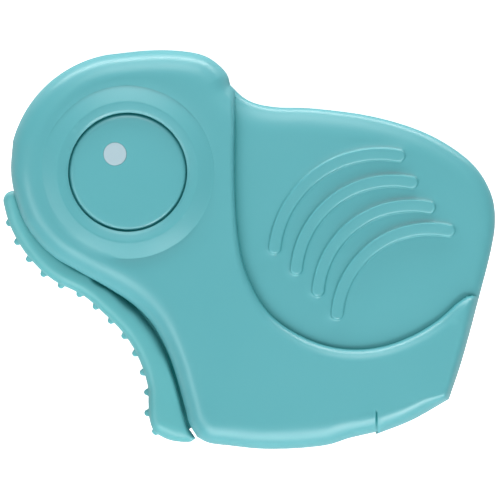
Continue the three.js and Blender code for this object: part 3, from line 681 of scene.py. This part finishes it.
def half_shell(name, front):
    """One half. The front one has the button's well, the rear one has sunk holes for four screws."""
    skin = Skin()
    loop = outline
    if front:
        flip = lambda z: z
        holes = [circle(WELL)]
        points = front_points[np.hypot(*front_points.T) > WELL + 0.05]
    else:
        flip = lambda z: 2 * MIDDLE_Z - z
        heads = SCREWS + [(0, 0)]
        holes = [circle(SCREW_SINK, p, 0.4) for p in heads]
        points = face_points(ring=False)
        points = points[np.min([np.hypot(*(points - c).T) for c in heads], 0) > SCREW_SINK + 0.15]
    height = lambda p: face_height(p, ring=front)
    skin.flat([loop] + holes, lambda p: flip(height(p)), points)
    seam, wall_start = nearest(loop, loop_of(outline_runs[:2])[-1]), nearest(loop, WALL_START)
    rough = loop_of(casing_runs(2.0, corner=False))
    inner = drawn_in(rough, WALL)
    inner_edge = Curve(inner, True)
    inner_seam, inner_start = nearest(rough, BOTTOM[0]), nearest(rough, loop[wall_start])
    shut, gape = between(loop, seam, wall_start), between(loop, wall_start, seam)
    inner_shut, inner_gape = between(inner, inner_seam, inner_start), between(inner, inner_start, inner_seam)
    skin.wall(shut, flip(RIM_Z), flip(height(shut)), closed=False)
    skin.wall(gape, flip(MOUTH_Z), flip(height(gape)), closed=False)
    skin.flat([np.vstack([shut, inner_shut[::-1]])], flip(RIM_Z))
    skin.flat([np.vstack([gape, inner_gape[::-1]])], flip(MOUTH_Z))
    skin.wall(inner_shut, flip(RIM_Z), flip(MOUTH_Z), closed=False)
    skin.wall(inner, flip(MOUTH_Z), flip(ROOF_Z))
    for a, b in ((loop[seam], inner[inner_seam]), (loop[wall_start], inner[inner_start])):
        corners = ((a, RIM_Z), (b, RIM_Z), (b, MOUTH_Z), (a, MOUTH_Z))
        skin.add([(*p, flip(z)) for p, z in corners], [(0, 1, 2, 3)])
    land = circle(LAND_OUT, step=1)
    rooms = inner_edge.measure(np.array(SCREWS, float))[0]
    bosses = [circle(min(BOSS, room - 0.2), p, 0.8) for p, room in zip(SCREWS, rooms)]
    skin.flat([inner, land] + bosses, flip(ROOF_Z))
    for boss, centre in zip(bosses, SCREWS):
        hole = circle(SCREW_HOLE, centre, 0.6)
        if front:
            skin.steps([boss, hole], [ROOF_Z, RIM_Z, ROOF_Z])
            skin.flat([hole], ROOF_Z)
        else:
            sink = holes[SCREWS.index(centre)]
            skin.steps([boss, hole, sink], [flip(ROOF_Z), flip(RIM_Z), SCREW_SEAT_Z, flip(height(sink))])
    if front:
        well = holes[0]
        skin.steps([land, circle(POCKET), well], [ROOF_Z, MOUTH_Z, POCKET_Z, height(well)])
    else:
        seat, bore, sink = circle(BUSH_ROOM, step=1), circle(SCREW_HOLE, step=0.6), holes[-1]
        skin.steps([land, seat, bore, sink],
                   [flip(ROOF_Z), flip(MOUTH_Z), BUSH_SEAT_Z, PIVOT_SEAT_Z, flip(height(sink))])
    return skin.done(name)


front_casing = half_shell("front_casing", True)
rear_casing = half_shell("rear_casing", False)

# %% [markdown]
# ## The arm
# The ridged strip on the left is the back of a folding arm. It is one moulding with a thin web that reaches
# to the blade and a thick round hub in the head. The strip shows all round, so its edges are rounded and
# its fourteen grip bars are pushed out of its wall row by row; web and hub are plain plates joined to it.

# %% Arm
ARM_LOW, ARM_HIGH = 5.8, 14.2
SPINE_OUT, SPINE_IN = 28.15, 23.83
SPINE_START, SPINE_END = 193.7, 250
SPINE_MIDDLE = (SPINE_OUT + SPINE_IN) / 2
NOSE = (SPINE_OUT - SPINE_IN) / 2
BEND = [(-5, -31.2), (-1.5, -34.7), (1, -38.2), (2.7, -41.7), (3.9, -45.2), (4.4, -47.9), (4.4, -50.5),
        (4.6, -53.8), (5.6, -56.6), (8.1, -58.3), (10.9, -59), (13.7, -59), (14.4, -58.5)]
SPINE_BACK = [(SPINE_OUT, SPINE_START), (28.3, 200), (28.5, 210), (28.65, 222), (28.75, 235), (28.75, 250)]
INNER_BEND = [(14.7, -58.3), (13.95, -57.2), (13.05, -55.9), (12.45, -54.1), (11.85, -51.9),
              (11.35, -49.8), (10.75, -47.6), (10.15, -45.4), (9.35, -43.2), (8.75, -41), (7.85, -38.8),
              (6.85, -36.7), (5.55, -34.5), (3.85, -32.3), (2.05, -30.1), (-0.75, -27.9), (-3.85, -25.7),
              (-7.55, -23.5), polar(SPINE_IN, SPINE_END)]
TEETH, TOOTH_PITCH, TOOTH_START = 14, 4.53, 4.5
TOOTH_HALF = 0.8
TOOTH_HEIGHTS = [0.75, 0.9, 0.95, 0.95, 0.9, 0.85, 0.85, 0.85, 0.9, 0.95, 1, 1.02, 1, 0.6]

spine_edge = smooth([polar(*p) for p in SPINE_BACK] + BEND, 0.17)
spine_inner = smooth(INNER_BEND, 0.6)
spine_arc = arc(SPINE_IN, SPINE_END - 1.5, SPINE_START + 1.5, 0.6)
spine_nose = arc(NOSE, SPINE_START - 180, SPINE_START, 0.4, polar(SPINE_MIDDLE, SPINE_START))
spine_loop = np.vstack([spine_edge, spine_inner, spine_arc, spine_nose[:-1]])
spine = Curve(spine_loop, True)
edge_end = spine.run[len(spine_edge)]
nose_start = spine.run[len(spine_loop) - len(spine_nose) + 1]
OUTER_ROUND = 2.2
# place along the strip's outline, radius of its edge
ROUNDING = [(0, OUTER_ROUND), (edge_end - 12, OUTER_ROUND), (edge_end - 7, 3), (edge_end - 3, 2.6),
            (edge_end, 0.9), (edge_end + 16, 1), (edge_end + 22, 2.3), (edge_end + 33, 2.3),
            (edge_end + 40, 1), (nose_start, 1), (spine.run[-1], OUTER_ROUND)]


def spine_height(points):
    """Rounded at the edge, wider on the outer side than on the inner one."""
    d, _, run = spine.measure(points)
    radius = flow(run, ROUNDING)
    d = np.clip(np.where(np.abs(d) < ON_EDGE, 0, np.abs(d)), 0, radius)
    return ARM_HIGH - radius + np.sqrt(np.clip(radius**2 - (radius - d) ** 2, 0, None))


def spine_points():
    """Rows along the rounded edges and an even grid between them."""
    kept = spine_loop
    for run in (spine_edge[::3], spine_inner, spine_arc, spine_nose):
        radius = flow(spine.measure(run)[2], ROUNDING)
        for turn in (12, 24, 36, 48, 60, 75, 90):
            inset = radius * (1 - math.cos(math.radians(turn)))
            row = rows_beside(run, [inset])
            row = row[np.abs(spine.measure(row)[0] - inset) < 0.03]
            kept = np.vstack([kept, thinned(kept, row, 0.06)])
    low, high = spine_loop.min(0), spine_loop.max(0)
    xs, ys = (np.arange(low[i], high[i], 0.8) for i in (0, 1))
    grid = np.array([(x, y) for x in xs for y in ys])
    grid = grid[spine.measure(grid)[0] > 0.6]
    return np.vstack([kept, thinned(kept, grid, 0.5)])[len(spine_loop):]


strip = Skin()
points = spine_points()
strip.flat([spine_loop], spine_height, points)
strip.flat([spine_loop], lambda p: 2 * MIDDLE_Z - spine_height(p), points)
run = np.r_[0, np.cumsum(np.linalg.norm(np.diff(spine_edge, axis=0), axis=1))]
tooth_at = TOOTH_START + TOOTH_PITCH * np.arange(TEETH)
beside = np.abs(run[:, None] - tooth_at)
off = beside.min(1) / TOOTH_HALF
bump = np.zeros(len(spine_loop))
bump[: len(spine_edge)] = np.array(TOOTH_HEIGHTS)[beside.argmin(1)] * np.sqrt(np.clip(1 - off**2.4, 0, None))
outward = -rows_beside(spine_edge, [1.0]) + spine_edge
outward = np.vstack([outward, np.zeros((len(spine_loop) - len(spine_edge), 2))])
rows = []
half_wall = spine_height(spine_loop) - MIDDLE_Z
for share in np.linspace(-1, 1, 15):
    lift = 1 - abs(share) ** 5
    rows.append(np.c_[spine_loop + outward * (bump * lift)[:, None], MIDDLE_Z + half_wall * share])
strip.rows(rows)
arm = strip.done("folding_arm", sharp=50)


# %% [markdown]
# Web and hub are simple plates, and the channels and bores are cut out of them. Booleans are the natural
# tool for this: the real mould is also blocks added and pins taken away.

# %% Hub and web of the arm
def plate(name, loop, low, high):
    skin = Skin()
    for z in (low, high):
        skin.flat([loop], z)
    skin.wall(loop, low, high)
    return skin.done(name)


def combine(base, other, how):
    """Joins or cuts, leaves the result on base, and removes the other object."""
    step = base.modifiers.new("step", "BOOLEAN")
    step.operation, step.object, step.solver = how, other, "EXACT"
    bpy.context.view_layer.update()
    shown = base.evaluated_get(bpy.context.evaluated_depsgraph_get())
    mesh = bpy.data.meshes.new_from_object(shown)
    base.modifiers.remove(step)
    base.data = mesh
    bpy.data.objects.remove(other)


BLADE = (31.5, -36.4)
WEB_LOW, WEB_HIGH = 8.4, 11.6
HUB, BLADE_ROOM, LOCK_ROOM, BOLT_BORE = 20.0, 22.9, 6.9, 2.8
CUT_LOW, CUT_TOP = 4.8, 15.2
LUG_OUT, LUG_IN, LUG_LOW = 9.5, 5.6, 10.6
LUG_FROM, LUG_TO = -12.6, 127.6
web_loop = np.vstack([arc(SPINE_IN + 1, SPINE_START + 2, SPINE_END, 2), [(-3.5, -31), (3, -38.5), (6.3, -47),
                      (8, -54), (12.2, -57)], arc(9.5, -100, 50, 1, BLADE), [polar(HUB - 1, -12), (0, 0)]])
combine(arm, plate("web", web_loop, WEB_LOW, WEB_HIGH), "UNION")
combine(arm, plate("hub", circle(HUB, step=0.9), ARM_LOW, ARM_HIGH), "UNION")
combine(arm, plate("blade_room", circle(BLADE_ROOM, BLADE, 1.2), WEB_HIGH, CUT_TOP), "DIFFERENCE")
combine(arm, plate("bush_bore", circle(BUSH_ROOM, step=0.7), CUT_LOW, 12.3), "DIFFERENCE")
combine(arm, plate("lock_bore", circle(LOCK_ROOM, step=0.7), CUT_LOW - 0.3, CUT_TOP), "DIFFERENCE")
for lug in (90, 270):
    first, last = lug + LUG_FROM, lug + LUG_TO
    way = np.vstack([arc(LUG_OUT, first, last, 0.8), arc(LUG_IN, last, first, 1)])
    combine(arm, plate("lug_way", way, LUG_LOW, CUT_TOP + 0.1), "DIFFERENCE")
combine(arm, plate("bolt_bore", circle(BOLT_BORE, BLADE, 0.5), CUT_LOW, CUT_TOP), "DIFFERENCE")
clean(arm.data, 0.03 * MM)

# %% [markdown]
# ## Button and dot
# The button is a round moulded cap with a small rounded edge and a face that is crowned by nearly half a
# millimetre, so that it shines softly across and doesn't sink in while it cools. The white dot is a
# second, inlaid moulding, so it sits in a pocket of its own.

# %% Button and dot
BUTTON, DOT_FLOOR = 12.85, 19.68
DOT, DOT_AT = 2.5, (-2.75, 3.95)
# radius, height
FACE = [(0, 20.3), (4, 20.26), (7, 20.17), (9.5, 20.05), (11.2, 19.94), (11.75, 19.88), (12.1, 19.79),
        (12.4, 19.65), (12.65, 19.46), (12.81, 19.26), (BUTTON, 19.1)]
FLANGE, FLANGE_LOW, FLANGE_HIGH, SOCKET_TOP = 14.3, 16.6, 17.6, 17.9
BUTTON_ROWS = [2.5, 4, 5.5, 7, 8.5, 9.8, 10.9, 11.6, 11.9, 12.1, 12.25, 12.4, 12.52, 12.62, 12.72, 12.78,
               12.82]
cap = Skin()
rim = circle(BUTTON, step=0.4)
dot_rim = circle(DOT + 0.06, DOT_AT, 0.25)
rings = [circle(r, step=max(0.4, r / 16)) for r in BUTTON_ROWS] + [circle(DOT + 0.3, DOT_AT, 0.3)]
inner_points = np.vstack(rings)
inner_points = inner_points[np.hypot(*(inner_points - DOT_AT).T) > DOT + 0.2]
face_z = lambda p: flow(np.hypot(*p.T), FACE)
cap.flat([rim, dot_rim], face_z, inner_points)
cap.wall(dot_rim, DOT_FLOOR, face_z(dot_rim))
cap.flat([dot_rim], DOT_FLOOR)
socket = circle(LOCK_ROOM)
cap.steps([rim, circle(FLANGE), socket], [FACE[-1][1], FLANGE_HIGH, FLANGE_LOW, SOCKET_TOP])
cap.flat([socket], SOCKET_TOP)
button = cap.done("push_button")


def turned(name, profile, centre=(0, 0), sides=96, sharp=35):
    """A solid of revolution from a closed run of (radius, height) points."""
    skin = Skin()
    profile = list(profile) + ([profile[0]] if profile[0][0] > 0 else [])
    skin.rows([np.c_[round_row(sides, r, centre), np.full(sides, float(z))] for r, z in profile])
    return skin.done(name, sharp)


dot = turned("white_dot", [(0, 19.75), (DOT - 0.1, 19.75), (DOT, 19.85), (DOT, 20.2), (DOT - 0.06, 20.27),
                           (DOT - 0.2, 20.3), (DOT / 2, 20.32), (0, 20.33)], DOT_AT)

# %% [markdown]
# ## Spring
# Under the button stands a small coil spring of round wire. A real one is wound on a mandrel and cut off,
# and here it is one long tube along a helix.

# %% Spring
COIL, WIRE, TURNS = 2.6, 0.275, 5
COIL_LOW, COIL_HIGH = 9.83, 14.67
outwards, upwards = round_row(12, WIRE).T
coil_rows = []
for share in np.linspace(0, 1, TURNS * 32 + 1):
    reach = COIL + outwards
    spin = 2 * math.pi * TURNS * share
    level = COIL_LOW + (COIL_HIGH - COIL_LOW) * share + upwards
    coil_rows.append(np.c_[reach * math.cos(spin), reach * math.sin(spin), level])
coil = Skin()
coil.rows(coil_rows)
for cut_end in (coil_rows[0], coil_rows[-1]):
    coil.add(cut_end, [tuple(range(len(cut_end)))])
spring = coil.done("coil_spring")

# %% [markdown]
# ## Blade
# A rotary blade is a steel disc 0.3 mm thick, ground to an edge from both faces. A revolved profile is the
# exact form, and the grinding marks are left to the material, because they are far finer than any mesh.

# %% Blade
BLADE_LOW, BLADE_R, BLADE_BORE = 11.9, 22.5, 4.15
SECTION = [(BLADE_BORE, 0), (21.2, 0), (21.3, 0.01), (22.35, 0.125), (BLADE_R, 0.145), (BLADE_R, 0.155),
           (22.35, 0.175), (21.3, 0.29), (21.2, 0.3), (BLADE_BORE, 0.3)]
disc = turned("round_blade", [(r, BLADE_LOW + z) for r, z in SECTION], BLADE, sides=256, sharp=25)

# %% [markdown]
# ## Shared effects
# Moulded plastic is never quite even: the mould's spark-eroded grain leaves a faint orange peel, and the
# colour drifts a little with the flow. Handling polishes the edges and leaves fine scratches. These go
# into two node groups, because the shells, the arm and the button all show them, each in its own measure.
# A third group finds how deep a place lies in a crevice. The plastics paint shade there with it: a darker
# colour, and a faint painted glow of that colour.


# %% Node groups
def group(name, inputs, outputs):
    tree = bpy.data.node_groups.new(name, "ShaderNodeTree")
    for label, value in inputs.items():
        tree.interface.new_socket(label, in_out="INPUT", socket_type="NodeSocketFloat").default_value = value
    for label in outputs:
        tree.interface.new_socket(label, in_out="OUTPUT", socket_type="NodeSocketFloat")
    return tree, tree.nodes.new("NodeGroupInput"), tree.nodes.new("NodeGroupOutput")


def noise(tree, scale, detail=3, roughness=0.6, vector=None):
    if vector is None:
        vector = make(tree, "TexCoord").outputs["Object"]
    inputs = {"Vector": vector, "Scale": scale, "Detail": detail, "Roughness": roughness}
    return make(tree, "TexNoise", inputs).outputs[0]


grain, given, result = group("moulded_grain", {"Grain per metre": 2500, "Drift per metre": 25},
                             ["Height", "Drift", "Gloss"])
drift_scale = given.outputs["Drift per metre"]
feed(result, {
    "Height": noise(grain, given.outputs["Grain per metre"]),
    "Drift": noise(grain, drift_scale, 2, 0.5),
    "Gloss": noise(grain, times(drift_scale, 9.0)),
})

wear, given, result = group("handling_wear", {"Edge": 1.0, "Scratches": 1.0}, ["Edge mask", "Scratch mask"])
pointed = make(wear, "NewGeometry").outputs["Pointiness"]
edges_found = times(calc("SUBTRACT", pointed, 0.515), 14.0)
broken = times(edges_found, noise(wear, 300.0))
worn_edges = calc("MINIMUM", calc("MAXIMUM", broken, 0.0), 1.0)
coords = make(wear, "TexCoord").outputs["Object"]
stretch = make(wear, "Mapping", {"Vector": coords, "Rotation": (0, 0, 0.6), "Scale": (2400, 60, 60)})
lines = noise(wear, 1.0, 2, 0.5, stretch.outputs[0])
thin = times(calc("SUBTRACT", lines, 0.68), 8.0)
patches = times(calc("SUBTRACT", noise(wear, 40.0, 2, 0.5), 0.5), 4.0)
both = times(calc("MAXIMUM", thin, 0.0), calc("MAXIMUM", patches, 0.0))
feed(result, {
    "Edge mask": times(worn_edges, given.outputs["Edge"]),
    "Scratch mask": times(calc("MINIMUM", both, 1.0), given.outputs["Scratches"]),
})

# Painted shade: the ambient occlusion becomes a mask that darkens the plastics' colour in crevices and
# hollows.
CREVICES = {"Reach in metres": 0.004, "Open share": 0.72, "Strength": 2.0}
shade_group, given, result = group("painted_crevice_shade", CREVICES, ["Painted shade mask"])
cover = make(shade_group, "AmbientOcclusion", {"Distance": given.outputs["Reach in metres"]}, samples=16)
hidden = calc("SUBTRACT", given.outputs["Open share"], cover.outputs["AO"])
scaled = times(calc("MAXIMUM", hidden, 0.0), given.outputs["Strength"])
feed(result, {"Painted shade mask": calc("MINIMUM", scaled, 1.0)})
print("node groups:", [g.name for g in bpy.data.node_groups])

# %% [markdown]
# ## Finishes
# The mint plastic is satin and a little glossy: base colour with a slow drift, roughness broken up by the
# gloss noise, and a relief of two hundredths of a millimetre from the grain. The material itself keeps the
# Principled shader and its plain values; only masks come from the groups.


# %% Plastics
def linear(r, g, b):
    """Screen colour, 0 to 255, as the linear colour that a shader takes."""
    return (*(((c / 255 + 0.055) / 1.055) ** 2.4 if c > 10 else c / 255 / 12.92 for c in (r, g, b)), 1)


def bumps(height, depth, strength):
    """A relief of the given depth in metres."""
    inputs = {"Height": height, "Distance": depth, "Strength": strength}
    return make(height.id_data, "Bump", inputs).outputs[0]


# EDGE_WEAR lightens worn edges; the second value is the strength of a faint painted glow in crevices.
EDGE_WEAR, PAINTED_GLOW = 0.25, 0.5


def plastic(name, colour, light_colour, painted_shade_colour, roughness, crevices=CREVICES):
    """Drifting colour, lighter at worn edges, with painted shade and a faint painted glow in crevices."""
    made, tree, shader = new_material(name)
    moulded = make(tree, "Group", node_tree=grain).outputs
    worn = make(tree, "Group", {"Edge": EDGE_WEAR}, node_tree=wear).outputs
    # painted shade: the occlusion mask mixes in a darker colour and a faint painted glow in crevices
    depth = make(tree, "Group", crevices, node_tree=shade_group).outputs["Painted shade mask"]
    share = calc("ADD", times(moulded["Drift"], 0.35), worn["Edge mask"])
    rough = calc("ADD", times(moulded["Gloss"], 0.12), times(worn["Scratch mask"], 0.15))
    feed(shader, {
        "Base Color": mixed(mixed(colour, light_colour, share), painted_shade_colour, depth),
        "Emission Color": painted_shade_colour,
        "Emission Strength": times(depth, PAINTED_GLOW),
        "Roughness": calc("ADD", rough, roughness - 0.06),
        "Normal": bumps(moulded["Height"], 0.00002, 0.6),
    })
    return made


# The third colour of each plastic is its painted shade in crevices; on the casing it reaches 6 mm, on the
# button 1.2 mm.
crevice_shade_colour = linear(4, 96, 98)
mint = plastic("casing_mint_plastic", linear(79, 152, 159), linear(102, 172, 179), crevice_shade_colour, 0.36,
               {"Reach in metres": 0.006, "Open share": 0.92, "Strength": 1.8})
arm_mint = plastic("arm_mint_plastic", linear(82, 158, 163), linear(105, 177, 182), crevice_shade_colour, 0.38)
button_mint = plastic("button_mint_plastic", linear(81, 155, 162), linear(103, 173, 180), crevice_shade_colour, 0.34,
                      {"Reach in metres": 0.0012, "Open share": 0.5, "Strength": 1.5})
white = plastic("dot_white_plastic", linear(156, 179, 188), linear(172, 193, 201), linear(110, 150, 155),
                0.35)
dark = plastic("dark_sliding_plastic", linear(52, 60, 63), linear(80, 88, 92), linear(20, 26, 28), 0.5)
print("plastics:", [m.name for m in (mint, arm_mint, button_mint, white, dark)])


# %% [markdown]
# Steel shows how it was worked. The blade is ground while it spins, so its marks are rings; screws, nut
# and washers are bright zinc with a fine uneven grain. Both share one builder, and the rings come from the
# distance to the blade's own centre.

# %% Steels
def steel(name, tone, roughness, rings_at=None):
    """Bare metal with an even grain, or with rings round a place that is given in metres."""
    made, tree, shader = new_material(name)
    if rings_at is None:
        marks = noise(tree, 1800.0)
    else:
        place = make(tree, "TexCoord").outputs["Object"]
        away = make(tree, "VectorMath", {0: place, 1: (*rings_at, 0)}, operation="SUBTRACT")
        parts = make(tree, "SeparateXYZ", {0: away.outputs[0]})
        squares = [calc("POWER", parts.outputs[i], 2.0) for i in (0, 1)]
        radius = calc("POWER", calc("ADD", *squares), 0.5)
        along = make(tree, "CombineXYZ", {0: times(radius, 9000.0)})
        marks = noise(tree, 1.0, vector=along.outputs[0])
    scratches = make(tree, "Group", node_tree=wear).outputs["Scratch mask"]
    rough = calc("ADD", times(marks, 0.18), roughness - 0.09)
    feed(shader, {
        "Metallic": 1.0,
        "Base Color": mixed(linear(*[c - 18 for c in tone]), linear(*tone), marks),
        "Roughness": calc("ADD", rough, times(scratches, 0.2)),
        "Normal": bumps(marks, 0.000004, 0.5),
    })
    return made


blade_at = (PIVOT.x + BLADE[0] * MM, PIVOT.y + BLADE[1] * MM)
blade_steel = steel("ground_blade_steel", (206, 208, 210), 0.22, blade_at)
zinc = steel("zinc_plated_steel", (196, 200, 205), 0.36)
spring_steel = steel("spring_wire_steel", (150, 153, 158), 0.4)
print("steels:", [m.name for m in (blade_steel, zinc, spring_steel)])

# %% [markdown]
# ## Assembly
# Each new piece stands for the CAD node of the same part, which is hidden, and rides on that node's body.
# The small hardware keeps its CAD shape and only gets a finish.

# %% Assembly
PIECES = [
    (front_casing, mint, "casing", "mint_plastic", "front_shell"),
    (rear_casing, mint, "casing", "mint_plastic", "rear_shell"),
    (arm, arm_mint, "arm", "arm_plastic", "blade_arm"),
    (button, button_mint, "button", "mint_plastic", "eye_button"),
    (dot, white, "button", "white_dot", "eye_dot"),
    (disc, blade_steel, "blade", "blade_steel", "rotary_blade"),
]
for piece, finish, body, slot_name, node in PIECES:
    piece.data.materials.clear()
    piece.data.materials.append(finish)
    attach(piece, body)
    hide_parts(node)

spring.data.materials.append(spring_steel)
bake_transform(spring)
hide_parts("button_spring")

KEPT = dict.fromkeys(("blade_bolt", "blade_washer", "blade_bush", "blade_nut", "key_post", "pivot_bush",
                      "pivot_screw", "shell_screw_1", "shell_screw_2", "shell_screw_3"), zinc)
KEPT |= dict.fromkeys(("lock_plunger", "pivot_washer_front", "pivot_washer_rear"), dark)
KEPT["spring_washer"] = spring_steel
for node, finish in KEPT.items():
    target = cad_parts[node]
    if not target.material_slots:
        target.data.materials.append(finish)
    for slot_made in target.material_slots:
        slot_made.material = finish
print(len(PIECES) + 1, "pieces replace nodes and", len(KEPT), "nodes keep their shape")

# %% [markdown]
# ## Sizes
# The boxes of the CAD model and of the dressed model are both printed. The dressed model has to
# stay within the CAD model's box.

# %% Sizes and finish
seen_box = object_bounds()
for label, box in (("CAD", cad_box), ("seen", seen_box)):
    print(label, "box", [[round(v / MM, 2) for v in corner] for corner in box])
